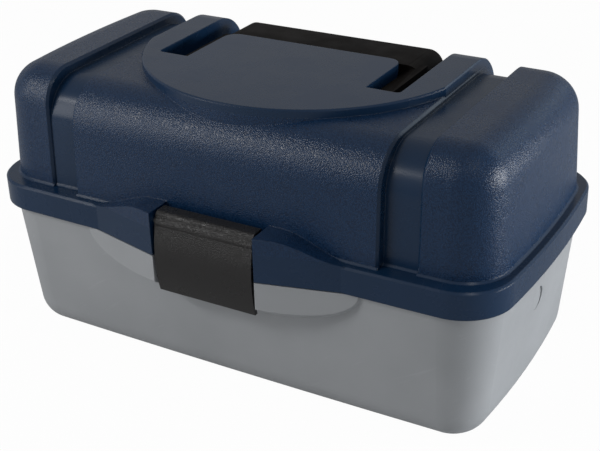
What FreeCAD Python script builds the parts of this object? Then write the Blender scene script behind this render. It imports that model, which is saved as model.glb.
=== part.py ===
"""Hinged tackle box: a moulded tub and lid with two cantilever trays on paired arms.

Millimetres.  X runs along the length, the front faces -Y, +Z is up, and the origin is the
centre of the lid's outline, on the surface that the box stands on.
"""
import FreeCAD, Part
import math
import os
from FreeCAD import Vector

os.makedirs("parts", exist_ok=True)

# ---- outline of the lid's flange ---------------------------------------------------------
box_length = 360.0
box_depth = 187.4
corner_radius = 32.0
side_bow_radius = 8800.0      # the long sides are very slightly bowed
end_bow_radius = 700.0        # the ends are bowed a little more

# ---- tub -----------------------------------------------------------------------------------
tub_height = 93.7             # up to the lower edge of the lid's flange
tub_inset_x = 5.3             # wall behind the flange's face at that height, on the ends
tub_inset_y = 3.6             # and on the front and back
tub_corner_radius = 30.7
tub_draft = 0.09
tub_edge_radius = 19.6
tub_wall = 2.6
tub_floor = 3.0
rim_lip_height = 2.4          # part of the rim band that shows under the flange
rim_clearance = 0.8           # rim band inside the flange
dimple_radius = 7.5
dimple_depth = 0.9
pivot_boss_radius = 7.0

# ---- lid -------------------------------------------------------------------------------------
flange_height = 17.0
flange_wall = 2.6
flange_bevel = 1.3
lid_wall = 2.6
lid_draft = 0.05
end_inset_x = 6.3             # end sections behind the flange's face
end_inset_y = 10.1
end_corner_radius = 27.6
end_top = 185.0
end_edge_radius = 23.0
centre_half_width = 106.0
groove_width = 21.6           # between the centre section and each end section
centre_inset = 6.3
centre_top = 182.0
centre_edge_radius = 29.0
groove_inset = 13.2
groove_top = 178.6
groove_edge_radius = 27.0
panel_bevel = 1.5             # bevelled edges along the grooves
foot_bevel = 1.2              # sloped foot of the walls on the flange

# ---- raised platform on the lid, with the recess that takes the folded handle ---------------
platform_top = 187.3
platform_front_inset = 18.2   # middle of its round front, behind the flange's face
platform_bulge = 78.5         # depth of that round front
platform_bevel = 0.9
platform_side_step = 0.6
tongue_half_width = 63.0
tongue_rear_inset = 59.2      # rear edge of the tongue, from the flange's back face
tongue_corner_radius = 9.0
slot_half_width = 85.2
slot_front_inset = 76.7       # front end of the slots, from the flange's front face
recess_floor = 172.4
recess_wall = 2.4

# ---- cheeks beside the latch: a bulge of the flange above, a boss of the tub below ----------
cheek_reach = 12.3            # how far they stand out of the flange beside the latch
cheek_half_width = 98.0       # where they run out on the tub's wall
bulge_half_width = 88.0
bulge_top_half_width = 45.0
bulge_rise = 11.1
boss_drop = 33.0              # height of the boss on the tub's wall
boss_front_drop = 19.0        # height of the boss on its front face
boss_front_half_width = 86.0
cheek_gap = 0.5               # between bulge and boss

# ---- latch -----------------------------------------------------------------------------------
latch_half_width = 34.0
latch_side_gap = 1.8
latch_wall = 2.6
latch_front_step = 0.6        # belly of its bowed face, behind the cheeks' front
latch_back_gap = 4.4          # its top edge in front of the lid
latch_bottom = 69.5
latch_belly = 94.0            # height of the belly
latch_crown_set_back = 4.6    # top of the face behind the belly
latch_lip_set_back = 2.6      # lower lip behind the belly
latch_crown_radius = 3.5
latch_pin_radius = 1.6
latch_pin_seat = 4.0
latch_barrel_radius = 4.0
latch_pin_rise = 4.3          # above the flange
latch_barrel_overlap = 0.6    # barrel sunk into the face's back
hook_half_width = 24.0
hook_height = 4.2
hook_overlap = 2.7
catch_top = 86.0
catch_height = 4.0
catch_reach = 6.2
catch_gap = 0.3

# ---- lid hinge -------------------------------------------------------------------------------
hinge_offset = 5.3            # hinge line behind the flange's face
hinge_rise = 1.3              # and above its lower edge
hinge_barrel_radius = 4.4
hinge_pin_radius = 1.6
hinge_station = 112.0         # middle of each hinge, from the centre line
lid_knuckle_length = 18.0
tub_knuckle_length = 12.0
knuckle_gap = 0.4
hinge_web_drop = 19.0         # the tub's hinge webs run this far down its back

# ---- handle ------------------------------------------------------------------------------------
handle_arm_width = 18.6
handle_side_gap = 1.4
handle_pivot_inset = 9.0      # behind the front end of the slots
handle_barrel_radius = 4.6
handle_floor_gap = 0.6
handle_pin_radius = 2.0
handle_pin_seat = 1.9
grip_front_gap = 2.4
grip_rear_inset = 23.1        # back of the grip, in front of the flange's back face
grip_rise = 3.0               # grip above the arms
handle_outer_corner = 15.0
handle_inner_corner = 6.0

# ---- cantilever linkage --------------------------------------------------------------------------
front_pivot_inset = 87.7      # behind the flange's front face
rear_pivot_inset = 49.7       # in front of the flange's back face
pivot_z = 68.0
arm_angle = 35.0              # closed arms lean forward, this far above level
lower_tray_radius = 25.0      # from the tub's pivot to the lower tray's
upper_tray_radius = 70.5
arm_inset = 20.0              # inner face of the arms, from the flange's end
arm_width = 8.0
arm_thickness = 2.0
rivet_radius = 2.0
rivet_head_radius = 3.5
rivet_head_height = 1.0
rivet_tail_radius = 3.0
side_clearance = 0.3          # between faces that slide past each other
running_clearance = 0.05      # radial, at the pivots that carry the arms
open_pivot_clearance = 0.3    # radial, at the pivots that close the linkage
seat_clearance = 0.02         # radial, pins fixed in their bosses
link_boss_radius = 5.0
pivot_pin_seat = 3.6          # shank of the arms' and the lid's pins inside their bosses

# ---- trays -----------------------------------------------------------------------------------------
tray_end_inset = 23.5         # behind the flange's end
tray_front_inset = 19.7       # behind the flange's front face
lower_tray_rear_inset = 47.7  # in front of the flange's back face
upper_tray_rear_inset = 43.7
lower_tray_height = 24.0
upper_tray_height = 38.0
tray_wall = 1.8
tray_corner_radius = 6.0
tray_pivot_height = 6.0       # tray pivots above the tray's underside
tray_boss_radius = 5.0
tray_rail_y = -5.0            # lengthwise wall between a tray's two rows
rail_drop = 3.0               # it ends this far below the tray's edge
divider_thickness = 1.2
divider_clearance = 0.15
divider_drop = 4.0
dividers_per_row = 3
guide_rib = 1.2

# ---- places that several pieces share ---------------------------------------------------------------
half_length = box_length / 2
half_depth = box_depth / 2
flange_top = tub_height + flange_height
flange_web = flange_top - flange_wall
rim_top = flange_web - side_clearance
rim_inset = flange_wall + rim_clearance
hinge_y = half_depth + hinge_offset
hinge_z = tub_height + hinge_rise
arm_pivots_y = (front_pivot_inset - half_depth, half_depth - rear_pivot_inset)
arm_plane = half_length - arm_inset
lean = math.radians(arm_angle)
lid_pivot_y = hinge_y - upper_tray_radius * math.cos(lean)
lid_pivot_z = hinge_z + upper_tray_radius * math.sin(lean)
cheek_start = latch_half_width + latch_side_gap
latch_front = half_depth + cheek_reach - latch_front_step
latch_top = flange_top + bulge_rise
latch_pin_y = latch_wall + latch_barrel_radius - latch_barrel_overlap - latch_front
latch_pin_z = flange_top + latch_pin_rise
end_section_start = centre_half_width + groove_width
tongue_rear = half_depth - tongue_rear_inset
slot_front = slot_front_inset - half_depth
handle_pivot_y = slot_front + handle_pivot_inset
handle_inside = tongue_half_width + handle_side_gap
handle_outside = handle_inside + handle_arm_width
handle_pivot_z = recess_floor + handle_floor_gap + handle_barrel_radius
grip_rear = half_depth - grip_rear_inset
tray_half_length = half_length - tray_end_inset
tray_front = tray_front_inset - half_depth
lower_tray_rear = half_depth - lower_tray_rear_inset
upper_tray_rear = half_depth - upper_tray_rear_inset
divider_pitch = 2 * (tray_half_length - tray_wall) / (dividers_per_row + 1)


# ---- drawing helpers ----------------------------------------------------------------------------------
def save(node, shape):
    """Write one sub-part."""
    shape.exportStep("parts/" + node + ".step")


def fused(shapes):
    """One solid out of several that touch or overlap."""
    return shapes[0].multiFuse(shapes[1:]).removeSplitter()


def block(x0, x1, y0, y1, z0, z1):
    """A plain block between two corners."""
    return Part.makeBox(x1 - x0, y1 - y0, z1 - z0, Vector(x0, y0, z0))


def rod(radius, x0, x1, y, z):
    """A cylinder along X."""
    return Part.makeCylinder(radius, abs(x1 - x0), Vector(min(x0, x1), y, z), Vector(1, 0, 0))


def mirrored(shape):
    """The other hand, across the middle of the box's length."""
    return shape.mirror(Vector(0, 0, 0), Vector(1, 0, 0))


def arc(a, b, c):
    """An arc edge through three points."""
    return Part.Arc(Vector(*a), Vector(*b), Vector(*c)).toShape()


def line(a, b):
    """A straight edge."""
    return Part.LineSegment(Vector(*a), Vector(*b)).toShape()


def rounded_face(corners):
    """A flat outline from (u, v, radius) corners, drawn in the XY plane."""
    turns = []
    for i, (u, v, radius) in enumerate(corners):
        here = Vector(u, v, 0)
        before = (Vector(corners[i - 1][0], corners[i - 1][1], 0) - here).normalize()
        following = corners[(i + 1) % len(corners)]
        after = (Vector(following[0], following[1], 0) - here).normalize()
        if radius == 0:
            turns.append((here, None, here))
            continue
        half_angle = before.getAngle(after) / 2
        setback = radius / math.tan(half_angle)
        inward = (before + after).normalize() * (radius / math.sin(half_angle) - radius)
        turns.append((here + before * setback, here + inward, here + after * setback))
    edges = []
    for i, (start, middle, finish) in enumerate(turns):
        if middle:
            edges.append(Part.Arc(start, middle, finish).toShape())
        next_start = turns[(i + 1) % len(turns)][0]
        if (next_start - finish).Length > 1e-6:
            edges.append(Part.LineSegment(finish, next_start).toShape())
    return Part.Face(Part.Wire(edges))


def plate_x(corners, x0, x1):
    """Extrude a (y, z, radius) outline along X."""
    face = rounded_face(corners)
    face.Placement = FreeCAD.Placement(Vector(x0, 0, 0), FreeCAD.Rotation(Vector(1, 1, 1), 120))
    return face.extrude(Vector(x1 - x0, 0, 0))


def plate_z(corners, z0, z1):
    """Extrude an (x, y, radius) outline upwards."""
    face = rounded_face(corners)
    face.translate(Vector(0, 0, z0))
    return face.extrude(Vector(0, 0, z1 - z0))


def rectangle(x0, x1, y0, y1, radius):
    """The (x, y, radius) corners of a rectangle."""
    return [(x0, y0, radius), (x1, y0, radius), (x1, y1, radius), (x0, y1, radius)]


def bevelled(shape, size, wanted):
    """Bevel the edges that the test picks."""
    return shape.makeChamfer(size, [edge for edge in shape.Edges if wanted(edge)])


def softened(shape, radius, wanted):
    """Fillet the edges that the test picks."""
    return shape.makeFillet(radius, [edge for edge in shape.Edges if wanted(edge)])


def corner_centre(length, depth, radius):
    """Centre of the front right corner arc, tangent inside the bowed side and the bowed end."""
    side = Vector(0, side_bow_radius - depth / 2, 0)
    end = Vector(length / 2 - end_bow_radius, 0, 0)
    side_reach = side_bow_radius - radius
    end_reach = end_bow_radius - radius
    gap = (end - side).Length
    along = (side_reach ** 2 - end_reach ** 2 + gap ** 2) / (2 * gap)
    across = math.sqrt(side_reach ** 2 - along ** 2)
    forward = (end - side).normalize()
    return side + forward * along + Vector(-forward.y, forward.x, 0) * across


def wall_profile(origin, heading, inner, reach, z_open, z_closed, draft, edge_radius):
    """Section of a moulding from its core to its drafted wall, round where it closes."""
    def at(outward, z):
        return origin + heading * (inner + outward) + Vector(0, 0, z)

    sign = 1 if z_closed > z_open else -1
    lean_in = math.atan(draft)
    z_round = z_closed - sign * edge_radius
    z_tangent = z_round + sign * edge_radius * math.sin(lean_in)
    r_tangent = reach - draft * abs(z_tangent - z_open)
    r_round = r_tangent - edge_radius * math.cos(lean_in)
    halfway = (lean_in + math.pi / 2) / 2
    points = [at(0, z_open), at(reach, z_open), at(r_tangent, z_tangent)]
    edges = [Part.LineSegment(points[0], points[1]).toShape()]
    edges.append(Part.LineSegment(points[1], points[2]).toShape())
    if edge_radius:
        middle = at(r_round + edge_radius * math.cos(halfway),
                    z_round + sign * edge_radius * math.sin(halfway))
        edges.append(Part.Arc(points[2], middle, at(r_round, z_closed)).toShape())
    edges.append(Part.LineSegment(at(r_round, z_closed), at(0, z_closed)).toShape())
    edges.append(Part.LineSegment(at(0, z_closed), at(0, z_open)).toShape())
    return Part.Face(Part.Wire(edges))


def moulding(length, depth, radius, z_open, z_closed, draft, edge_radius):
    """A bowed, drafted box form: its wall profile swept round four sides and four corners."""
    corner = corner_centre(length, depth, radius)
    side_centre = Vector(0, side_bow_radius - depth / 2, 0)
    end_centre = Vector(length / 2 - end_bow_radius, 0, 0)
    up = Vector(0, 0, 1)
    sizes = (radius, z_open, z_closed, draft, edge_radius)
    from_side = (corner - side_centre).normalize()
    from_end = (corner - end_centre).normalize()
    side_sweep = 2 * math.degrees(math.atan2(from_side.x, -from_side.y))
    end_sweep = 2 * math.degrees(math.atan2(-from_end.y, from_end.x))
    corner_sweep = 90 - side_sweep / 2 - end_sweep / 2
    left_heading = Vector(-from_side.x, from_side.y, 0)
    front = wall_profile(side_centre, left_heading, side_bow_radius - radius, *sizes)
    end = wall_profile(end_centre, from_end, end_bow_radius - radius, *sizes)
    turn = wall_profile(corner, from_side, 0, *sizes)
    front = front.revolve(side_centre, up, side_sweep)
    end = end.revolve(end_centre, up, end_sweep)
    turn = turn.revolve(corner, up, corner_sweep)
    back = front.mirror(Vector(0, 0, 0), Vector(0, 1, 0))
    turn_back = turn.mirror(Vector(0, 0, 0), Vector(0, 1, 0))
    x, y, z = corner.x, -corner.y, min(z_open, z_closed)
    core_edges = [arc((-x, -y, z), (0, radius - depth / 2, z), (x, -y, z)),
                  arc((x, -y, z), (length / 2 - radius, 0, z), (x, y, z)),
                  arc((x, y, z), (0, depth / 2 - radius, z), (-x, y, z)),
                  arc((-x, y, z), (radius - length / 2, 0, z), (-x, -y, z))]
    core = Part.Face(Part.Wire(core_edges)).extrude(Vector(0, 0, abs(z_closed - z_open)))
    pieces = [core, front, back, end, mirrored(end), turn, mirrored(turn), turn_back, mirrored(turn_back)]
    return fused(pieces)


def inset_moulding(inset_x, inset_y, radius, z_open, z_closed, draft, edge_radius):
    """A moulding that stands behind the flange's outline by the given insets."""
    return moulding(box_length - 2 * inset_x, box_depth - 2 * inset_y, radius, z_open, z_closed, draft,
                    edge_radius)


# ---- tub -----------------------------------------------------------------------------------------------
def cheek_wedge(z0, z1):
    """Plan form that the bulge and the boss share: full at the latch, run out at the sides."""
    back = -half_depth / 2
    run_out = rim_inset - half_depth
    front = -half_depth - cheek_reach
    width = cheek_half_width
    corners = [(-width, back, 0), (width, back, 0), (width, run_out, 0), (latch_half_width, front, 4),
               (-latch_half_width, front, 4), (-width, run_out, 0)]
    return plate_z(corners, z0, z1)


def half_ellipse(half_width, drop, y, top):
    """Half an ellipse hanging from a level line, facing the front."""
    curve = Part.Ellipse(Vector(half_width, y, top), Vector(0, y, top - drop), Vector(0, y, top))
    bowl = Part.Arc(curve, 0, math.pi).toShape()
    ends = [vertex.Point for vertex in bowl.Vertexes]
    if bowl.BoundBox.ZMin > top - drop / 2:
        bowl = Part.Arc(curve, math.pi, 2 * math.pi).toShape()
    return Part.Wire([bowl, Part.LineSegment(ends[1], ends[0]).toShape()])


def latch_boss():
    """Boss of the tub's front wall under the flange's bulge, open behind the latch."""
    top = tub_height - cheek_gap
    wall_y = tub_inset_y + tub_wall - half_depth
    front_y = -half_depth - cheek_reach
    outline = [half_ellipse(cheek_half_width, boss_drop, wall_y, top),
               half_ellipse(boss_front_half_width, boss_front_drop, front_y, top)]
    boss = Part.makeLoft(outline, True, True)
    boss = boss.common(cheek_wedge(tub_height - 2 * boss_drop, tub_height))
    behind_latch = block(-cheek_start, cheek_start, -2 * half_depth, 0, 0, tub_height)
    return boss.cut(behind_latch)


def tub_hinge_half():
    """The two tub knuckles of the right hinge, each on a web down the back wall."""
    wall_top = half_depth - tub_inset_y - tub_wall / 2
    wall_low = wall_top - hinge_web_drop * tub_draft
    web = [(wall_low, tub_height - hinge_web_drop, 0),
           (hinge_y + hinge_barrel_radius * 0.8, hinge_z - hinge_barrel_radius * 0.6, 0),
           (hinge_y, hinge_z, 0),
           (hinge_y - hinge_barrel_radius * 0.8, tub_height - 1.1, 0),
           (wall_top, tub_height - 1.1, 0)]
    knuckles = []
    for side in (-1, 1):
        near = hinge_station + side * (lid_knuckle_length / 2 + knuckle_gap)
        far = near + side * tub_knuckle_length
        barrel = rod(hinge_barrel_radius, near, far, hinge_y, hinge_z)
        knuckles.append(barrel.fuse(plate_x(web, min(near, far), max(near, far))))
    return knuckles


def make_tub():
    outer = inset_moulding(tub_inset_x, tub_inset_y, tub_corner_radius, tub_height, 0, tub_draft,
                           tub_edge_radius)
    band = inset_moulding(rim_inset, rim_inset, corner_radius - rim_inset, tub_height - rim_lip_height,
                          rim_top, 0, 0)
    inner_x = tub_inset_x + tub_wall
    inner_y = tub_inset_y + tub_wall
    inner_radius = tub_corner_radius - tub_wall
    hollow = inset_moulding(inner_x, inner_y, inner_radius, tub_height, tub_floor, tub_draft,
                            tub_edge_radius - tub_wall)
    mouth = inset_moulding(inner_x, inner_y, inner_radius, tub_height - 1, rim_top + 1, 0, 0)
    catch_y = tub_inset_y - half_depth
    catch = plate_x([(catch_y + 2, catch_top, 0), (catch_y + 2, catch_top - catch_height, 0),
                     (catch_y - catch_reach, catch_top - catch_height, 0),
                     (catch_y - catch_reach, catch_top - catch_height / 2, 0)],
                    -hook_half_width - 2, hook_half_width + 2)
    knuckles = tub_hinge_half()
    outside = fused([outer, band, latch_boss(), catch] + knuckles + [mirrored(k) for k in knuckles])
    tub = outside.cut(hollow.fuse(mouth))
    boss_face = arm_plane + arm_thickness + side_clearance
    wall_x = box_length / 2 - tub_inset_x - tub_draft * (tub_height - pivot_z)
    for y in arm_pivots_y:
        boss = rod(pivot_boss_radius, boss_face, box_length, y, pivot_z).common(outer)
        tub = tub.fuse(boss).fuse(mirrored(boss))
        hole = rod(rivet_radius + seat_clearance, boss_face, boss_face + pivot_pin_seat, y, pivot_z)
        dimple = rod(dimple_radius, wall_x - dimple_depth, box_length, y, pivot_z)
        for cut in (hole, mirrored(hole), dimple, mirrored(dimple)):
            tub = tub.cut(cut)
    bore = rod(hinge_pin_radius + seat_clearance, 0, box_length, hinge_y, hinge_z)
    return tub.cut(bore).cut(mirrored(bore))


# ---- lid -----------------------------------------------------------------------------------------------
def flange_bulge():
    """Bulge of the flange on both sides of the latch, its top edge in an S curve."""
    back_y = centre_inset + lid_wall / 2 - half_depth
    low, high = flange_top, flange_top + bulge_rise
    wide, narrow = bulge_half_width, bulge_top_half_width
    bend = (wide - narrow) / 3

    def rise(side):
        curve = Part.BezierCurve()
        curve.setPoles([Vector(side * wide, back_y, low), Vector(side * (wide - bend), back_y, low),
                        Vector(side * (narrow + bend), back_y, high), Vector(side * narrow, back_y, high)])
        return curve.toShape()

    edges = [line((-wide, back_y, tub_height), (wide, back_y, tub_height)),
             line((wide, back_y, tub_height), (wide, back_y, low)), rise(1),
             line((narrow, back_y, high), (-narrow, back_y, high)), rise(-1),
             line((-wide, back_y, low), (-wide, back_y, tub_height))]
    face = Part.Face(Part.Wire(Part.__sortEdges__(edges)))
    bulge = face.extrude(Vector(0, -half_depth, 0)).common(cheek_wedge(tub_height, high))
    return bulge.cut(block(-cheek_start, cheek_start, -2 * half_depth, half_depth, 0, 2 * high))


def cross_panel(inset, top, edge_radius, half_width):
    """A stretch of the lid between the end sections: one side profile, extruded along X."""
    y = half_depth - inset
    narrow = y - lid_draft * (top - flange_web)
    return plate_x([(-y, flange_web, 0), (y, flange_web, 0), (narrow, top, edge_radius),
                    (-narrow, top, edge_radius)], -half_width, half_width)


def foot(inset, half_width):
    """Sloped foot of a cross panel's front and back walls, where they stand on the flange."""
    y = half_depth - inset - lid_draft * (flange_top - flange_web)
    return plate_x([(-y - foot_bevel, flange_top, 0), (y + foot_bevel, flange_top, 0),
                    (y, flange_top + foot_bevel, 0), (-y, flange_top + foot_bevel, 0)],
                   -half_width, half_width)


def end_feet():
    """Sloped feet of the end sections' walls."""
    lean_in = lid_draft * (flange_top - flange_web)
    outward = lean_in - foot_bevel
    form = inset_moulding(end_inset_x + outward, end_inset_y + outward, end_corner_radius - outward,
                          flange_top, flange_top + foot_bevel, 1, 0)
    ring = form.common(block(end_section_start, half_length, -half_depth, half_depth, 0, 2 * end_top))
    return [ring, mirrored(ring)]


def on_plane_x(x):
    """Test for the edges of a panel that lie across the box at the given distance."""
    def wanted(edge):
        bounds = edge.BoundBox
        flat = abs(bounds.XMax - bounds.XMin) < 1e-4 and abs(abs(bounds.XMin) - x) < 1e-4
        return flat and bounds.ZMax > flange_top + 1
    return wanted


def end_sections(inset):
    """Both end sections; the inset gives their outside or, with the wall's value, their inside."""
    form = inset_moulding(end_inset_x + inset, end_inset_y + inset, end_corner_radius - inset, flange_web,
                          end_top - inset, lid_draft, end_edge_radius - inset)
    start = end_section_start + inset
    section = form.common(block(start, box_length, -half_depth, half_depth, 0, 2 * end_top))
    if inset == 0:
        section = bevelled(section, panel_bevel, on_plane_x(start))
    return [section, mirrored(section)]


def platform():
    """The smooth raised platform: round in front, level on top, rolling off at the back."""
    half_width = centre_half_width - platform_side_step
    front = platform_front_inset - half_depth
    shoulder = front + platform_bulge
    back = half_depth
    base = centre_top - centre_edge_radius
    edges = [line((-half_width, back, base), (-half_width, shoulder, base)),
             arc((-half_width, shoulder, base), (0, front, base), (half_width, shoulder, base)),
             line((half_width, shoulder, base), (half_width, back, base)),
             line((half_width, back, base), (-half_width, back, base))]
    disc = Part.Face(Part.Wire(edges)).extrude(Vector(0, 0, platform_top - base))
    rear = half_depth - centre_inset - lid_draft * (platform_top - flange_web)
    roll = plate_x([(-half_depth, base, 0), (rear, base, 0), (rear, platform_top, centre_edge_radius),
                    (-half_depth, platform_top, 0)], -box_length / 2, box_length / 2)
    solid = disc.common(roll)

    def top_front(edge):
        bounds = edge.BoundBox
        return bounds.ZMin > platform_top - 1e-4 and bounds.YMin < tongue_rear
    return bevelled(solid, platform_bevel, top_front)


def handle_recess(wall):
    """Space for the folded handle: two slots and the seat of the grip round the tongue."""
    outer = slot_half_width + wall
    inner = tongue_half_width - wall
    floor = recess_floor - wall
    well = plate_z([(-outer, slot_front - wall, 3), (outer, slot_front - wall, 3), (outer, half_depth, 0),
                    (-outer, half_depth, 0)], floor, platform_top + 1)
    tongue = plate_z([(-inner, slot_front - half_depth, 0), (inner, slot_front - half_depth, 0),
                      (inner, tongue_rear - wall, tongue_corner_radius),
                      (-inner, tongue_rear - wall, tongue_corner_radius)], floor - 1, platform_top + 2)
    return well.cut(tongue)


def lid_knuckle():
    """The lid's knuckle of the right hinge, on a gusset from the flange."""
    x0 = hinge_station - lid_knuckle_length / 2
    x1 = x0 + lid_knuckle_length
    root = half_depth - flange_wall / 2
    gusset = plate_x([(root, hinge_z, 0), (hinge_y, hinge_z, 0),
                      (hinge_y + hinge_barrel_radius * 0.6, hinge_z + hinge_barrel_radius * 0.8, 0),
                      (root, flange_top - flange_wall, 0)], x0, x1)
    return rod(hinge_barrel_radius, x0, x1, hinge_y, hinge_z).fuse(gusset)


def make_lid():
    flange = inset_moulding(0, 0, corner_radius, tub_height, flange_top - flange_bevel, 0, 0)
    bevel = inset_moulding(0, 0, corner_radius, flange_top - flange_bevel, flange_top, 1, 0)
    centre = cross_panel(centre_inset, centre_top, centre_edge_radius, centre_half_width)
    centre = bevelled(centre, panel_bevel, on_plane_x(centre_half_width))
    groove = cross_panel(groove_inset, groove_top, groove_edge_radius, end_section_start + 1)
    knuckle = lid_knuckle()
    feet = [foot(centre_inset, centre_half_width), foot(groove_inset, end_section_start + 1)]
    outside = fused([flange, bevel, flange_bulge(), groove, centre, platform(), knuckle, mirrored(knuckle)]
                    + end_sections(0) + feet + end_feet())
    under_flange = inset_moulding(flange_wall, flange_wall, corner_radius - flange_wall, 0, flange_web, 0, 0)
    inside = fused([under_flange,
                    cross_panel(centre_inset + lid_wall, centre_top - lid_wall, centre_edge_radius - lid_wall,
                                centre_half_width - lid_wall),
                    cross_panel(groove_inset + lid_wall, groove_top - lid_wall, groove_edge_radius - lid_wall,
                                end_section_start + 2 * lid_wall)] + end_sections(lid_wall))
    inside = inside.cut(handle_recess(recess_wall))
    lid = outside.cut(inside).cut(handle_recess(0))
    boss_face = tray_half_length + side_clearance
    boss = rod(link_boss_radius, boss_face, box_length / 2, lid_pivot_y, lid_pivot_z).common(outside)
    lid = lid.fuse(boss).fuse(mirrored(boss))
    link_hole = rod(rivet_radius + seat_clearance, boss_face, boss_face + pivot_pin_seat, lid_pivot_y,
                    lid_pivot_z)
    hinge_bore = rod(hinge_pin_radius + running_clearance, 0, box_length / 2, hinge_y, hinge_z)
    handle_hole = rod(handle_pin_radius + seat_clearance, tongue_half_width - handle_pin_seat,
                      slot_half_width + handle_pin_seat, handle_pivot_y, handle_pivot_z)
    latch_reach = cheek_start + latch_pin_seat
    latch_hole = rod(latch_pin_radius + seat_clearance, -latch_reach, latch_reach, latch_pin_y, latch_pin_z)
    for cut in (link_hole, mirrored(link_hole), hinge_bore, mirrored(hinge_bore), handle_hole,
                mirrored(handle_hole), latch_hole):
        lid = lid.cut(cut)
    return lid


# ---- latch and handle --------------------------------------------------------------------------------------
def latch_face(set_in):
    """The latch's bowed front line as (y, z) at its crown, belly and lip, set in from the outside."""
    return ((latch_crown_set_back + set_in - latch_front, latch_top - set_in),
            (set_in - latch_front, latch_belly),
            (latch_lip_set_back + set_in - latch_front, latch_bottom))


def make_latch():
    """Over-centre latch: a top shelf, a bowed face down to the lip, a barrel and a hook."""
    half = latch_half_width
    back = centre_inset - latch_back_gap - half_depth
    crown, belly, lip = [(-half, y, z) for y, z in latch_face(0)]
    inner_crown, inner_belly, inner_lip = [(-half, y, z) for y, z in latch_face(latch_wall)]
    outline = [line((-half, back, latch_top), crown), arc(crown, belly, lip), line(lip, inner_lip),
               arc(inner_lip, inner_belly, inner_crown),
               line(inner_crown, (-half, back, latch_top - latch_wall)),
               line((-half, back, latch_top - latch_wall), (-half, back, latch_top))]
    skin = Part.Face(Part.Wire(outline)).extrude(Vector(2 * half, 0, 0))

    def crown_edge(edge):
        bounds = edge.BoundBox
        across = bounds.XLength > half
        return across and bounds.ZMin > latch_top - 0.01 and bounds.YMax < crown[1] + 0.01
    skin = softened(skin, latch_crown_radius, crown_edge)
    barrel = rod(latch_barrel_radius, -half, half, latch_pin_y, latch_pin_z)
    face_y = crown[1] + latch_wall / 2
    web = block(-half, half, face_y, latch_pin_y + latch_barrel_radius * 0.8, latch_pin_z,
                latch_top - latch_wall / 2)
    hook_top = catch_top - catch_height - catch_gap
    catch_tip = tub_inset_y - half_depth - catch_reach
    hook_tip = catch_tip + hook_overlap
    hook_root = latch_wall / 2 - latch_front
    hook = plate_x([(hook_root, hook_top - 1.2 * hook_height, 0), (hook_tip, hook_top - 0.7 * hook_height, 1),
                    (hook_tip, hook_top, 0), (hook_root, hook_top, 0)], -hook_half_width, hook_half_width)
    latch = fused([skin, barrel, web, hook])
    return latch.cut(rod(latch_pin_radius + running_clearance, -2 * half, 2 * half, latch_pin_y,
                         latch_pin_z))


def make_handle():
    """Carrying handle: two flat arms and a wide rounded grip, moulded in one."""
    bottom = recess_floor + handle_floor_gap
    arm_top = bottom + 2 * handle_barrel_radius
    front = handle_pivot_y - handle_barrel_radius
    grip_front = tongue_rear + grip_front_gap
    outline = rectangle(-handle_outside, handle_outside, front, grip_rear, 0)
    outline = [(x, y, handle_outer_corner if y > 0 else 0) for x, y, radius in outline]
    gap = [(-handle_inside, front - 1, 0), (handle_inside, front - 1, 0),
           (handle_inside, grip_front, handle_inner_corner),
           (-handle_inside, grip_front, handle_inner_corner)]
    plan = plate_z(outline, bottom, arm_top + grip_rise).cut(plate_z(gap, 0, 2 * arm_top))
    side = plate_x([(front, bottom, handle_barrel_radius * 0.98), (grip_rear - 3, bottom, 2),
                    (grip_rear, bottom + 4, 3), (grip_rear - 2, arm_top, 5),
                    (grip_rear - 9, arm_top + grip_rise, 9), (grip_front + 6, arm_top + grip_rise, 7),
                    (grip_front - 2, arm_top, 7), (front, arm_top, handle_barrel_radius * 0.98)],
                   -box_length, box_length)
    handle = plan.common(side)
    bore = rod(handle_pin_radius + running_clearance, 0, box_length, handle_pivot_y, handle_pivot_z)
    return handle.cut(bore).cut(mirrored(bore))


# ---- cantilever linkage ------------------------------------------------------------------------------
def along_arm(pivot_y, distance):
    """A point on a closed arm, as (y, z)."""
    return pivot_y - distance * math.cos(lean), pivot_z + distance * math.sin(lean)


def make_arm(pivot_y, tray_clearance):
    """Steel strip with round ends and three rivet holes, standing against the right end."""
    reach = arm_width / 2
    length = upper_tray_radius + 2 * reach
    strip = plate_z(rectangle(-reach, length - reach, -reach, reach, reach * 0.999), 0, arm_thickness)
    for distance, clearance in ((0, running_clearance), (lower_tray_radius, tray_clearance),
                                (upper_tray_radius, tray_clearance)):
        hole = Part.makeCylinder(rivet_radius + clearance, 3 * arm_thickness,
                                 Vector(distance, 0, -arm_thickness))
        strip = strip.cut(hole)
    strip.rotate(Vector(0, 0, 0), Vector(0, 0, 1), 180 - arm_angle)
    strip.rotate(Vector(0, 0, 0), Vector(1, 1, 1), 120)
    strip.translate(Vector(arm_plane, pivot_y, pivot_z))
    return strip


def pivot_pins():
    """The four pins that carry the arms: a head inside the arm, a shank pressed into the tub."""
    pins = []
    shank_end = arm_plane + arm_thickness + side_clearance + pivot_pin_seat
    head_face = arm_plane - side_clearance
    for y in arm_pivots_y:
        head = rod(rivet_head_radius, head_face - rivet_head_height, head_face, y, pivot_z)
        pin = head.fuse(rod(rivet_radius, head_face - rivet_head_height, shank_end, y, pivot_z))
        pins += [pin, mirrored(pin)]
    return Part.makeCompound(pins)


def tray_rivets(distance):
    """The four rivets of one tray: a head outside the arm, a tail formed inside the tray."""
    rivets = []
    head_face = arm_plane + arm_thickness + side_clearance / 2
    inside = tray_half_length - tray_wall
    for pivot_y in arm_pivots_y:
        y, z = along_arm(pivot_y, distance)
        rivet = fused([rod(rivet_head_radius, head_face, head_face + rivet_head_height, y, z),
                       rod(rivet_radius, inside - rivet_head_height, head_face + rivet_head_height, y, z),
                       rod(rivet_tail_radius, inside - rivet_head_height, inside, y, z)])
        rivets += [rivet, mirrored(rivet)]
    return Part.makeCompound(rivets)


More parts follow.
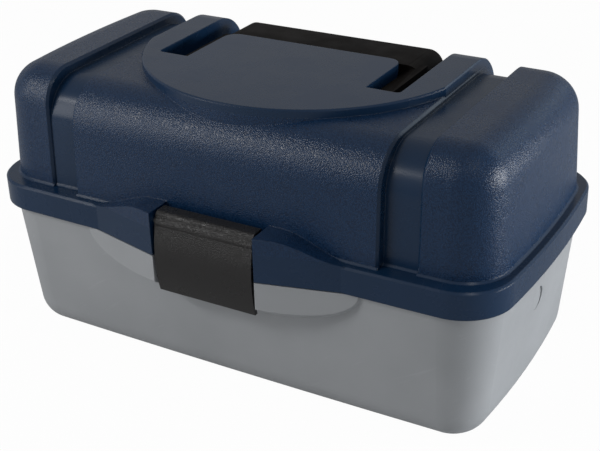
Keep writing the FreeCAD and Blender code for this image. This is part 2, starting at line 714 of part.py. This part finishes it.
def lid_link_pins():
    """The two pins that join the lid to the upper tray, pressed into the lid's bosses."""
    inside = tray_half_length - tray_wall - side_clearance
    shank_end = tray_half_length + side_clearance + pivot_pin_seat
    pin = rod(rivet_radius, inside, shank_end, lid_pivot_y, lid_pivot_z)
    pin = pin.fuse(rod(rivet_tail_radius, inside - rivet_head_height, inside, lid_pivot_y, lid_pivot_z))
    return Part.makeCompound([pin, mirrored(pin)])


# ---- trays -------------------------------------------------------------------------------------------
def tray_rows(rear):
    """Front and back edge of each of a tray's two rows."""
    return ((tray_front + tray_wall, tray_rail_y - tray_wall / 2),
            (tray_rail_y + tray_wall / 2, rear - tray_wall))


def divider_places():
    """X of each row's dividers, spread evenly about the middle."""
    return [divider_pitch * (i - (dividers_per_row - 1) / 2) for i in range(dividers_per_row)]


def make_tray(distance, rear, height):
    """Open tray with two rows, guide ribs for the dividers and bosses for the arms' rivets."""
    pivots = [along_arm(y, distance) for y in arm_pivots_y]
    floor = pivots[0][1] - tray_pivot_height
    top = floor + height
    shell = plate_z(rectangle(-tray_half_length, tray_half_length, tray_front, rear, tray_corner_radius),
                    floor, top)
    inside = tray_half_length - tray_wall
    for front_y, back_y in tray_rows(rear):
        row = plate_z(rectangle(-inside, inside, front_y, back_y, tray_corner_radius - tray_wall),
                      floor + tray_wall, top + 1)
        shell = shell.cut(row)
    shell = shell.cut(block(-inside, inside, tray_rail_y - tray_wall, tray_rail_y + tray_wall,
                            top - rail_drop, top + 1))
    rib_gap = divider_thickness / 2 + divider_clearance
    ribs = []
    for front_y, back_y in tray_rows(rear):
        for x in divider_places():
            for side in (-1, 1):
                near, far = sorted((x + side * rib_gap, x + side * (rib_gap + guide_rib)))
                for y0, y1 in ((front_y - 0.5, front_y + guide_rib), (back_y - guide_rib, back_y + 0.5)):
                    ribs.append(block(near, far, y0, y1, floor + tray_wall - 0.5, top - divider_drop))
    bosses = []
    for y, z in pivots:
        boss = rod(tray_boss_radius, tray_half_length - 1, arm_plane - side_clearance, y, z)
        bosses += [boss, mirrored(boss)]
    tray = fused([shell] + ribs + bosses)
    for y, z in pivots:
        hole = rod(rivet_radius + seat_clearance, 0, box_length, y, z)
        hole = hole.cut(block(0, inside - 1, y - 10, y + 10, z - 10, z + 10))
        tray = tray.cut(hole).cut(mirrored(hole))
    return tray, floor, top


def make_dividers(rear, floor, top):
    """Removable plates that stand between the guide ribs, front row first."""
    dividers = []
    for front_y, back_y in tray_rows(rear):
        for x in divider_places():
            dividers.append(block(x - divider_thickness / 2, x + divider_thickness / 2,
                                  front_y + divider_clearance, back_y - divider_clearance,
                                  floor + tray_wall + divider_clearance, top - divider_drop))
    return dividers


def hinge_pin():
    """Straight steel pin through one hinge's three knuckles."""
    half = lid_knuckle_length / 2 + knuckle_gap + tub_knuckle_length
    return rod(hinge_pin_radius, hinge_station - half, hinge_station + half, hinge_y, hinge_z)


def main():
    save("tub", make_tub())
    save("tub_pivot_pins", pivot_pins())
    save("hinge_pin_right", hinge_pin())
    save("hinge_pin_left", mirrored(hinge_pin()))
    save("lid", make_lid())
    save("lid_link_pins", lid_link_pins())
    pin_reach = cheek_start + latch_pin_seat
    save("latch_pin", rod(latch_pin_radius, -pin_reach, pin_reach, latch_pin_y, latch_pin_z))
    save("latch", make_latch())
    save("handle", make_handle())
    handle_pin = rod(handle_pin_radius, tongue_half_width - handle_pin_seat,
                     slot_half_width + handle_pin_seat, handle_pivot_y, handle_pivot_z)
    save("handle_pin_right", handle_pin)
    save("handle_pin_left", mirrored(handle_pin))
    for name, pivot_y, clearance in (("front_arm", arm_pivots_y[0], open_pivot_clearance),
                                     ("rear_arm", arm_pivots_y[1], running_clearance)):
        arm = make_arm(pivot_y, clearance)
        save(name + "_right", arm)
        save(name + "_left", mirrored(arm))
    for name, distance, rear, height in (("lower", lower_tray_radius, lower_tray_rear, lower_tray_height),
                                         ("upper", upper_tray_radius, upper_tray_rear, upper_tray_height)):
        tray, floor, top = make_tray(distance, rear, height)
        if name == "upper":
            tray = link_bored(tray)
        save(name + "_tray", tray)
        save(name + "_tray_rivets", tray_rivets(distance))
        for number, divider in enumerate(make_dividers(rear, floor, top), 1):
            save(name + "_divider_" + str(number), divider)


def link_bored(tray):
    """The upper tray with the holes for the pins that join it to the lid."""
    hole = rod(rivet_radius + open_pivot_clearance, tray_half_length - 2 * tray_wall, box_length, lid_pivot_y,
               lid_pivot_z)
    return tray.cut(hole).cut(mirrored(hole))


main()
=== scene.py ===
import math

import bmesh
import bpy
from mathutils import Matrix, Vector


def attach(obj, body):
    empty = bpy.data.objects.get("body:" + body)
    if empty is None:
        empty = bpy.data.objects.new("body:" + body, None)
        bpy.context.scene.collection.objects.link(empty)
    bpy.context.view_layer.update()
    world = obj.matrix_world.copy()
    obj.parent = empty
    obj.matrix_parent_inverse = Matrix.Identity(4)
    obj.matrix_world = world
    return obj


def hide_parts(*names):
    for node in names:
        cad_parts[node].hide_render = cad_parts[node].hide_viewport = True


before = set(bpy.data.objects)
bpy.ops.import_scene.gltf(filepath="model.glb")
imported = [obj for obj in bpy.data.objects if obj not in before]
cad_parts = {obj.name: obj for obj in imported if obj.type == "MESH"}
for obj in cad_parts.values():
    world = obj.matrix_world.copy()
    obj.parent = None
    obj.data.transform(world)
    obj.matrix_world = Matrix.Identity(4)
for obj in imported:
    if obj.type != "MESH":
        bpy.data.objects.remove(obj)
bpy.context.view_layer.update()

# ---- Room ----
# A pale floor that runs out to white all round. One large soft lamp stands low beyond the right end and a
# narrow strip high at the front left draws the gloss along the rolls; a fill, a small lamp for the corner
# and a cool one behind for the rims help them. The white sky is mirrored only in part.
WHITE = (1, 1, 1, 1)
FLOOR_SIZE = 8
FLOOR_COLOUR = (0.80, 0.80, 0.80, 1)
FLOOR_WHITE_SHARE = 0.975
SKY_COLOUR = (0.97, 0.985, 1.0, 1)
SKY_STRENGTH = 0.18
SKY_WHITE_MIRRORED = 0.28


def calculated(tree, operation, *values):
    """The result of a Math node on sockets and plain numbers."""
    step = tree.nodes.new("ShaderNodeMath")
    step.operation = operation
    for slot, value in zip(step.inputs, values):
        if isinstance(value, (int, float)):
            slot.default_value = value
        else:
            tree.links.new(value, slot)
    return step.outputs[0]


def show_white(tree, share, plain, white, out):
    """Ends a node tree in its plain shader, with a share of white for the rays that see the background."""
    mix = tree.nodes.new("ShaderNodeMixShader")
    for source, socket in zip((share, plain.outputs[0], white.outputs[0]), mix.inputs):
        tree.links.new(source, socket)
    tree.links.new(mix.outputs[0], out.inputs["Surface"])


bpy.ops.object.select_all(action="DESELECT")
bpy.ops.mesh.primitive_plane_add(size=FLOOR_SIZE, location=(0, 0, 0))
floor = bpy.context.object
floor.name = "studio_floor"
floor_paint = bpy.data.materials.new("floor_paint")
floor_paint.use_nodes = True
floor_tree = floor_paint.node_tree
floor_tree.nodes.clear()
floor_matt = floor_tree.nodes.new("ShaderNodeBsdfDiffuse")
floor_matt.inputs["Color"].default_value = FLOOR_COLOUR
floor_white = floor_tree.nodes.new("ShaderNodeEmission")
floor_white.inputs["Color"].default_value = WHITE
floor_white.inputs["Strength"].default_value = 1
floor_rays = floor_tree.nodes.new("ShaderNodeLightPath")
floor_share = calculated(floor_tree, "MULTIPLY", floor_rays.outputs["Is Camera Ray"], FLOOR_WHITE_SHARE)
floor_out = floor_tree.nodes.new("ShaderNodeOutputMaterial")
show_white(floor_tree, floor_share, floor_matt, floor_white, floor_out)
floor.data.materials.append(floor_paint)

sky = bpy.data.worlds.new("studio_sky")
bpy.context.scene.world = sky
sky.use_nodes = True
sky_tree = sky.node_tree
sky_tree.nodes.clear()
sky_dim = sky_tree.nodes.new("ShaderNodeBackground")
sky_dim.inputs["Color"].default_value = SKY_COLOUR
sky_dim.inputs["Strength"].default_value = SKY_STRENGTH
sky_white = sky_tree.nodes.new("ShaderNodeBackground")
sky_white.inputs["Color"].default_value = WHITE
sky_white.inputs["Strength"].default_value = 1
sky_rays = sky_tree.nodes.new("ShaderNodeLightPath")
sky_share = calculated(sky_tree, "MULTIPLY_ADD", sky_rays.outputs["Is Glossy Ray"], SKY_WHITE_MIRRORED,
                       sky_rays.outputs["Is Camera Ray"])
sky_out = sky_tree.nodes.new("ShaderNodeOutputWorld")
show_white(sky_tree, sky_share, sky_dim, sky_white, sky_out)


def add_lamp(name, place, aim, width, height, power, colour=(1, 1, 1)):
    """A soft rectangular lamp that looks at a point."""
    lamp = bpy.data.lights.new(name, "AREA")
    lamp.shape = "RECTANGLE"
    lamp.size = width
    lamp.size_y = height
    lamp.energy = power
    lamp.color = colour
    stand = bpy.data.objects.new(name, lamp)
    bpy.context.scene.collection.objects.link(stand)
    facing = (Vector(aim) - Vector(place)).to_track_quat("-Z", "Y")
    stand.matrix_world = Matrix.Translation(place) @ facing.to_matrix().to_4x4()


add_lamp("end_lamp", place=(1.50, 0.50, 0.22), aim=(0.1, 0.0, 0.09),
         width=1.0, height=0.5, power=18, colour=(0.98, 1.0, 1.02))
add_lamp("gloss_strip", place=(-0.66, -0.86, 0.92), aim=(-0.05, -0.05, 0.15),
         width=0.46, height=0.12, power=3.6)
add_lamp("corner_spark", place=(0.60, -0.47, 0.98), aim=(0.13, -0.05, 0.15),
         width=0.12, height=0.12, power=0.5)
add_lamp("front_fill", place=(-0.80, -0.75, 0.40), aim=(-0.19, -0.1, 0.05),
         width=0.5, height=0.5, power=2.1)
add_lamp("rim_panel", place=(0.75, 1.30, 0.78), aim=(0.0, 0.0, 0.17),
         width=0.6, height=0.4, power=0.9, colour=(0.72, 0.88, 1.0))

CAMERA_SENSOR = 36
CAMERA_LENS = 73.163
CAMERA_AIM = Vector((0.007654, -0.00297, 0.076756))
CAMERA_DISTANCE = 0.80025
CAMERA_TURN = math.radians(30.349)
CAMERA_RISE = math.radians(27.28)
CAMERA_ROLL = math.radians(-1.639)
camera_data = bpy.data.cameras.new("camera")
camera_data.sensor_width = CAMERA_SENSOR
camera_data.sensor_fit = "HORIZONTAL"
camera_data.lens = CAMERA_LENS
camera = bpy.data.objects.new("camera", camera_data)
bpy.context.scene.collection.objects.link(camera)
bpy.context.scene.camera = camera
camera_facing = (Matrix.Rotation(CAMERA_TURN, 4, "Z") @ Matrix.Rotation(math.pi / 2 - CAMERA_RISE, 4, "X")
                 @ Matrix.Rotation(CAMERA_ROLL, 4, "Z"))
camera_away = Vector((math.sin(CAMERA_TURN) * math.cos(CAMERA_RISE),
                      -math.cos(CAMERA_TURN) * math.cos(CAMERA_RISE), math.sin(CAMERA_RISE)))
camera.matrix_world = Matrix.Translation(CAMERA_AIM + camera_away * CAMERA_DISTANCE) @ camera_facing
bpy.context.scene.view_settings.view_transform = "Standard"


# ---- Tub ----
# One injection-moulded shell of light grey polypropylene with a satin face: the tool left a very fine
# orange peel, the colour swirls faintly, and handling has scuffed it in short pale scratches.
NOISE_LOW = 0.35
NOISE_HIGH = 0.65
PEEL_DEPTH = 0.00005
SCUFF_TURN = (0.25, 0.95, 0.3)
SCUFF_STRETCH = (1, 1, 16)
SCUFF_START = 0.66
SCUFF_FULL = 0.76
SCUFF_BRIGHTER = 1.35
SCUFF_STRENGTH = 0.16


def start_material(name):
    """A node material with its node tree, its Principled shader and the place on the piece."""
    material = bpy.data.materials.new(name)
    material.use_nodes = True
    tree = material.node_tree
    place = tree.nodes.new("ShaderNodeTexCoord").outputs["Object"]
    return material, tree, tree.nodes["Principled BSDF"], place


def noise(tree, place, scale, detail, rough=0.5, output="Fac"):
    """A noise texture at the given place, most of which lies between NOISE_LOW and NOISE_HIGH."""
    texture = tree.nodes.new("ShaderNodeTexNoise")
    texture.inputs["Scale"].default_value = scale
    texture.inputs["Detail"].default_value = detail
    texture.inputs["Roughness"].default_value = rough
    tree.links.new(place, texture.inputs["Vector"])
    return texture.outputs[output]


def mapped(tree, value, low, high, out_low, out_high):
    """The value, stretched from one range to another and clamped."""
    span = tree.nodes.new("ShaderNodeMapRange")
    for name, number in (("From Min", low), ("From Max", high), ("To Min", out_low), ("To Max", out_high)):
        span.inputs[name].default_value = number
    tree.links.new(value, span.inputs["Value"])
    return span.outputs["Result"]


def spread(tree, value, low=0, high=1):
    """A noise, stretched to the full of another range."""
    return mapped(tree, value, NOISE_LOW, NOISE_HIGH, low, high)


def blended(tree, factor, first, second):
    """A colour between two, each a tuple or a socket."""
    mix = tree.nodes.new("ShaderNodeMix")
    mix.data_type = "RGBA"
    tree.links.new(factor, mix.inputs["Factor"])
    for socket, colour in ((mix.inputs[6], first), (mix.inputs[7], second)):
        if isinstance(colour, tuple):
            socket.default_value = colour + (1,)
        else:
            tree.links.new(colour, socket)
    return mix.outputs[2]


def bump(tree, height, strength, depth, under=None):
    """A bump from a height, laid on top of another normal if one is given."""
    relief = tree.nodes.new("ShaderNodeBump")
    relief.inputs["Strength"].default_value = strength
    relief.inputs["Distance"].default_value = depth
    tree.links.new(height, relief.inputs["Height"])
    if under is not None:
        tree.links.new(under, relief.inputs["Normal"])
    return relief.outputs["Normal"]


def satin_plastic(name, dark, light, rough_low, rough_high, specular=0.40):
    """Moulded satin plastic with faint swirls, an orange peel and fine scuffs."""
    material, tree, shader, place = start_material(name)
    swirl = spread(tree, noise(tree, place, scale=14, detail=3))
    drag = tree.nodes.new("ShaderNodeMapping")
    drag.vector_type = "TEXTURE"
    drag.inputs["Rotation"].default_value = SCUFF_TURN
    drag.inputs["Scale"].default_value = SCUFF_STRETCH
    tree.links.new(place, drag.inputs["Vector"])
    scratches = noise(tree, drag.outputs[0], scale=420, detail=2)
    scuffs = mapped(tree, scratches, SCUFF_START, SCUFF_FULL, 0, SCUFF_STRENGTH)
    scuffed = tuple(SCUFF_BRIGHTER * part for part in light)
    tree.links.new(blended(tree, scuffs, blended(tree, swirl, dark, light), scuffed),
                   shader.inputs["Base Color"])
    cloud = noise(tree, place, scale=60, detail=4, rough=0.6)
    tree.links.new(spread(tree, cloud, rough_low, rough_high), shader.inputs["Roughness"])
    peel = noise(tree, place, scale=1500, detail=2)
    tree.links.new(bump(tree, peel, strength=0.25, depth=PEEL_DEPTH), shader.inputs["Normal"])
    shader.inputs["Specular IOR Level"].default_value = specular
    return material


def dress(material, *names):
    """Gives CAD nodes their material."""
    for name in names:
        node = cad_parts[name]
        node.data.materials.clear()
        node.data.materials.append(material)


dress(satin_plastic("tub_grey", dark=(0.370, 0.385, 0.402), light=(0.412, 0.427, 0.445),
                    rough_low=0.44, rough_high=0.54), "tub")

# ---- Trays and dividers ----
# Thin grey polypropylene, a little lighter than the tub. The dividers slide in loose and are lighter
# still, and a little glossier.
TRAY_ROWS = ("lower", "upper")
DIVIDERS_IN_ROW = 6
dress(satin_plastic("tray_grey", dark=(0.430, 0.440, 0.450), light=(0.470, 0.480, 0.490),
                    rough_low=0.40, rough_high=0.52), *[row + "_tray" for row in TRAY_ROWS])
dress(satin_plastic("divider_grey", dark=(0.470, 0.475, 0.480), light=(0.510, 0.515, 0.520),
                    rough_low=0.36, rough_high=0.46),
      *[row + "_divider_" + str(place + 1) for row in TRAY_ROWS for place in range(DIVIDERS_IN_ROW)])

# ---- Arms, pins and rivets ----
# Zinc-plated steel, slightly blue, blooming in dull patches. The arms are punched from rolled strip and
# vary softly in gloss over their faces. The pins and rivets are made from drawn wire, with its fine lines
# along them.
LINE_DEPTH = 0.00005
LINE_LOW = 0.3
LINE_HIGH = 0.7
STEEL_ROUGHNESS = (0.24, 0.42)
STRIP_STRETCH = (1, 0.15, 0.15)
WIRE_STRETCH = (0.2, 1, 1)


def plated_steel(name, dark, light, stretch):
    """Zinc-plated steel with dull blooms and fine lines drawn out by the stretch."""
    material, tree, shader, place = start_material(name)
    drawn = tree.nodes.new("ShaderNodeMapping")
    drawn.inputs["Scale"].default_value = stretch
    tree.links.new(place, drawn.inputs["Vector"])
    lines = noise(tree, drawn.outputs[0], scale=1200, detail=3)
    blooms = spread(tree, noise(tree, place, scale=120, detail=4))
    tree.links.new(blended(tree, blooms, dark, light), shader.inputs["Base Color"])
    tree.links.new(mapped(tree, lines, LINE_LOW, LINE_HIGH, *STEEL_ROUGHNESS), shader.inputs["Roughness"])
    tree.links.new(bump(tree, lines, strength=0.15, depth=LINE_DEPTH), shader.inputs["Normal"])
    shader.inputs["Metallic"].default_value = 1
    return material


dress(plated_steel("arm_steel", dark=(0.48, 0.49, 0.50), light=(0.62, 0.63, 0.64), stretch=STRIP_STRETCH),
      "front_arm_left", "front_arm_right", "rear_arm_left", "rear_arm_right")
dress(plated_steel("pin_steel", dark=(0.52, 0.53, 0.54), light=(0.66, 0.67, 0.68), stretch=WIRE_STRETCH),
      "latch_pin", "handle_pin_left", "handle_pin_right", "hinge_pin_left", "hinge_pin_right",
      "tub_pivot_pins", "lid_link_pins", "lower_tray_rivets", "upper_tray_rivets")

# ---- Lid ----
# One moulding of navy polypropylene. Its middle and its two ends have a leather grain from the tool; the
# flange, the grooves, the platform and its recess are smooth. Every edge is a little rounded.
LID_MIDDLE_HALF = 0.1045
LID_END_START = 0.1291
LID_FLANGE_TOP = 0.1120
LID_PLATFORM_FOOT = 0.1822
LID_RECESS_HALF = 0.0860
LID_RECESS_FRONT = -0.0180
LID_EDGE_RADIUS = 0.0009
LID_PEBBLES = 1350
LID_GRAIN_DEPTH = 0.00011
LID_SMOOTH_TONES = ((0.005, 0.026, 0.068), (0.007, 0.030, 0.078))
# The grained navy's two tones: painted shade for the grain's creases and painted light for the pebbles'
# crowns.
LID_GRAIN_LIT_AND_SHADED_TONES = ((0.003, 0.018, 0.054), (0.012, 0.046, 0.118))
LID_ROUGHNESS = (0.24, 0.30)
LID_SPECULAR = 0.36
PEBBLE_BEND = 0.8
PEBBLE_SMOOTHNESS = 0.35
PEBBLE_CROWN = 0.15
PEBBLE_CREASE = 0.75


def axes(tree, place):
    """The x, y and z of a place."""
    split = tree.nodes.new("ShaderNodeSeparateXYZ")
    tree.links.new(place, split.inputs[0])
    return split.outputs


def leather_grain(tree, place, scale):
    """Height of moulded leather grain: uneven rounded pebbles between narrow creases."""
    bent = tree.nodes.new("ShaderNodeVectorMath")
    bent.operation = "MULTIPLY_ADD"
    tree.links.new(noise(tree, place, scale / 2, detail=1, output="Color"), bent.inputs[0])
    bent.inputs[1].default_value = [PEBBLE_BEND / scale] * 3
    tree.links.new(place, bent.inputs[2])
    pebbles = tree.nodes.new("ShaderNodeTexVoronoi")
    pebbles.feature = "SMOOTH_F1"
    pebbles.inputs["Scale"].default_value = scale
    pebbles.inputs["Smoothness"].default_value = PEBBLE_SMOOTHNESS
    tree.links.new(bent.outputs[0], pebbles.inputs["Vector"])
    return mapped(tree, pebbles.outputs["Distance"], PEBBLE_CROWN, PEBBLE_CREASE, 1, 0)


lid_navy, lid_tree, lid_shader, lid_place = start_material("lid_navy")
lid_x, lid_y, lid_z = axes(lid_tree, lid_place)
lid_across = calculated(lid_tree, "ABSOLUTE", lid_x)
in_middle = calculated(lid_tree, "LESS_THAN", lid_across, LID_MIDDLE_HALF)
in_end = calculated(lid_tree, "GREATER_THAN", lid_across, LID_END_START)
above_flange = calculated(lid_tree, "GREATER_THAN", lid_z, LID_FLANGE_TOP)
under_platform = calculated(lid_tree, "LESS_THAN", lid_z, LID_PLATFORM_FOOT)
beside_recess = calculated(lid_tree, "GREATER_THAN", lid_across, LID_RECESS_HALF)
before_recess = calculated(lid_tree, "LESS_THAN", lid_y, LID_RECESS_FRONT)
off_recess = calculated(lid_tree, "MAXIMUM", beside_recess, before_recess)
middle_body = calculated(lid_tree, "MULTIPLY", in_middle, under_platform)
middle_grain = calculated(lid_tree, "MULTIPLY", middle_body, off_recess)
grained = calculated(lid_tree, "MULTIPLY",
                     calculated(lid_tree, "MAXIMUM", middle_grain, in_end), above_flange)
lid_pebbles = leather_grain(lid_tree, lid_place, LID_PEBBLES)
lid_edges = lid_tree.nodes.new("ShaderNodeBevel")
lid_edges.inputs["Radius"].default_value = LID_EDGE_RADIUS
lid_peel = bump(lid_tree, noise(lid_tree, lid_place, scale=1400, detail=2),
                strength=0.2, depth=PEEL_DEPTH, under=lid_edges.outputs[0])
lid_grain = bump(lid_tree, calculated(lid_tree, "MULTIPLY", lid_pebbles, grained),
                 strength=1, depth=LID_GRAIN_DEPTH, under=lid_peel)
lid_tree.links.new(lid_grain, lid_shader.inputs["Normal"])
lid_swirl = spread(lid_tree, noise(lid_tree, lid_place, scale=11, detail=3))
lid_smooth_tone = blended(lid_tree, lid_swirl, *LID_SMOOTH_TONES)
# Painted shade in the grain's creases and painted light on the pebbles' crowns: the navy goes darker or
# lighter with the pebbles' height.
lid_grain_painted_light_tone = blended(lid_tree, lid_pebbles, *LID_GRAIN_LIT_AND_SHADED_TONES)
lid_tone = blended(lid_tree, grained, lid_smooth_tone, lid_grain_painted_light_tone)
lid_tree.links.new(lid_tone, lid_shader.inputs["Base Color"])
lid_cloud = noise(lid_tree, lid_place, scale=45, detail=4, rough=0.6)
lid_tree.links.new(spread(lid_tree, lid_cloud, *LID_ROUGHNESS), lid_shader.inputs["Roughness"])
lid_shader.inputs["Specular IOR Level"].default_value = LID_SPECULAR
dress(lid_navy, "lid")

# ---- Latch ----
# One black polypropylene moulding that turns on its steel pin and hooks on the tub's ridge. It has a finer
# leather grain than the lid, deep on its crown and almost gone on its flat face.
LATCH_PEBBLES = 1500
LATCH_GRAIN_DEPTH = 0.00022
LATCH_CROWN_FOOT = 0.094
LATCH_CROWN_FULL = 0.106
LATCH_FACE_GRAIN = 0.12
LATCH_TONES = ((0.008, 0.007, 0.007), (0.011, 0.010, 0.010))
LATCH_ROUGHNESS = (0.26, 0.34)
LATCH_SPECULAR = 0.50
latch_black, latch_tree, latch_shader, latch_place = start_material("grained_black")
latch_crown = mapped(latch_tree, axes(latch_tree, latch_place)["Z"], LATCH_CROWN_FOOT, LATCH_CROWN_FULL,
                     LATCH_FACE_GRAIN, 1)
latch_pebbles = leather_grain(latch_tree, latch_place, LATCH_PEBBLES)
latch_height = calculated(latch_tree, "MULTIPLY", latch_pebbles, latch_crown)
latch_grain = bump(latch_tree, latch_height, strength=1, depth=LATCH_GRAIN_DEPTH)
latch_tree.links.new(latch_grain, latch_shader.inputs["Normal"])
latch_swirl = noise(latch_tree, latch_place, scale=30, detail=3)
latch_tree.links.new(blended(latch_tree, latch_swirl, *LATCH_TONES), latch_shader.inputs["Base Color"])
latch_cloud = noise(latch_tree, latch_place, scale=80, detail=3)
latch_tree.links.new(spread(latch_tree, latch_cloud, *LATCH_ROUGHNESS), latch_shader.inputs["Roughness"])
latch_shader.inputs["Specular IOR Level"].default_value = LATCH_SPECULAR
dress(latch_black, "latch")

# ---- Handle ----
# One satin black polypropylene moulding, folded into the lid's recess: a grip with rounded ends on two
# narrow arms that turn on steel pins in the lid, clear of their slots' sides.
HANDLE_FLOOR = 0.1730
GRIP_HALF = 0.0746
GRIP_FRONT = 0.0373
GRIP_REAR = 0.0712
GRIP_FLOOR = HANDLE_FLOOR + 0.0002
GRIP_TOP = 0.1835
GRIP_END_ROUND = 0.0102
GRIP_REAR_ROUND = 0.0045
GRIP_REAR_ROUND_FOOT = HANDLE_FLOOR + 0.001
GRIP_FRONT_ROUND = 0.0065
ARM_INNER = 0.0659
ARM_OUTER = 0.0745
ARM_FRONT = -0.0125
ARM_REAR = 0.0460
ARM_TOP = 0.1816
ARM_NOSE_ROUND = 0.0040
EDGE_ROUND = 0.0007
SHARP_ANGLE = math.radians(35)
NEAR = 0.0001
SAME = 0.000001


def add_block(name, low, high):
    """A block between two corners, left in edit mode."""
    bpy.ops.object.select_all(action="DESELECT")
    bpy.ops.mesh.primitive_cube_add(size=1)
    block = bpy.context.object
    block.name = name
    bpy.ops.object.mode_set(mode="EDIT")
    bpy.ops.transform.resize(value=[b - a for a, b in zip(low, high)])
    bpy.ops.transform.translate(value=[(a + b) / 2 for a, b in zip(low, high)])
    return block


def round_edges(radius, steps, chosen):
    """In edit mode, rounds the edges for which a test on their two ends holds."""
    mesh = bmesh.from_edit_mesh(bpy.context.edit_object.data)
    bpy.context.tool_settings.mesh_select_mode = (False, True, False)
    for parts in (mesh.faces, mesh.edges, mesh.verts):
        for part in parts:
            part.select = False
    for edge in mesh.edges:
        if chosen(*[end.co for end in edge.verts]):
            edge.select_set(True)
    mesh.select_flush_mode()
    bmesh.update_edit_mesh(bpy.context.edit_object.data)
    bpy.ops.mesh.bevel(offset=radius, segments=steps, affect="EDGES", clamp_overlap=True)


grip = add_block("handle_moulding", (-GRIP_HALF, GRIP_FRONT, GRIP_FLOOR), (GRIP_HALF, GRIP_REAR, GRIP_TOP))
round_edges(GRIP_END_ROUND, steps=9, chosen=lambda one, two:
            min(one.z, two.z) > GRIP_TOP - NEAR and abs(one.x - two.x) < SAME)
round_edges(GRIP_REAR_ROUND, steps=5, chosen=lambda one, two:
            min(one.y, two.y) > GRIP_REAR - NEAR and min(one.z, two.z) > GRIP_REAR_ROUND_FOOT)
round_edges(GRIP_FRONT_ROUND, steps=6, chosen=lambda one, two:
            min(one.z, two.z) > GRIP_TOP - NEAR and max(one.y, two.y) < GRIP_FRONT + NEAR)
bpy.ops.object.mode_set(mode="OBJECT")
arms = []
for side in (-1, 1):
    left, right = sorted((side * ARM_INNER, side * ARM_OUTER))
    arms.append(add_block("handle_arm", (left, ARM_FRONT, HANDLE_FLOOR), (right, ARM_REAR, ARM_TOP)))
    round_edges(ARM_NOSE_ROUND, steps=6, chosen=lambda one, two:
                max(one.y, two.y) < ARM_FRONT + NEAR and abs(one.z - two.z) < SAME)
    bpy.ops.object.mode_set(mode="OBJECT")
bpy.ops.object.select_all(action="DESELECT")
grip.select_set(True)
bpy.context.view_layer.objects.active = grip
for arm in arms:
    merge = grip.modifiers.new("merge", "BOOLEAN")
    merge.operation = "UNION"
    merge.object = arm
    bpy.ops.object.modifier_apply(modifier=merge.name)
    bpy.data.objects.remove(arm)
soften = grip.modifiers.new("soften", "BEVEL")
soften.limit_method = "ANGLE"
soften.angle_limit = SHARP_ANGLE
soften.width = EDGE_ROUND
soften.segments = 2
bpy.ops.object.modifier_apply(modifier=soften.name)
bpy.ops.object.shade_smooth_by_angle(angle=SHARP_ANGLE)
grip.data.materials.append(
    satin_plastic("handle_black", dark=(0.007, 0.006, 0.006), light=(0.012, 0.010, 0.009),
                  rough_low=0.50, rough_high=0.62, specular=0.05))
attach(grip, "handle")
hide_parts("handle")
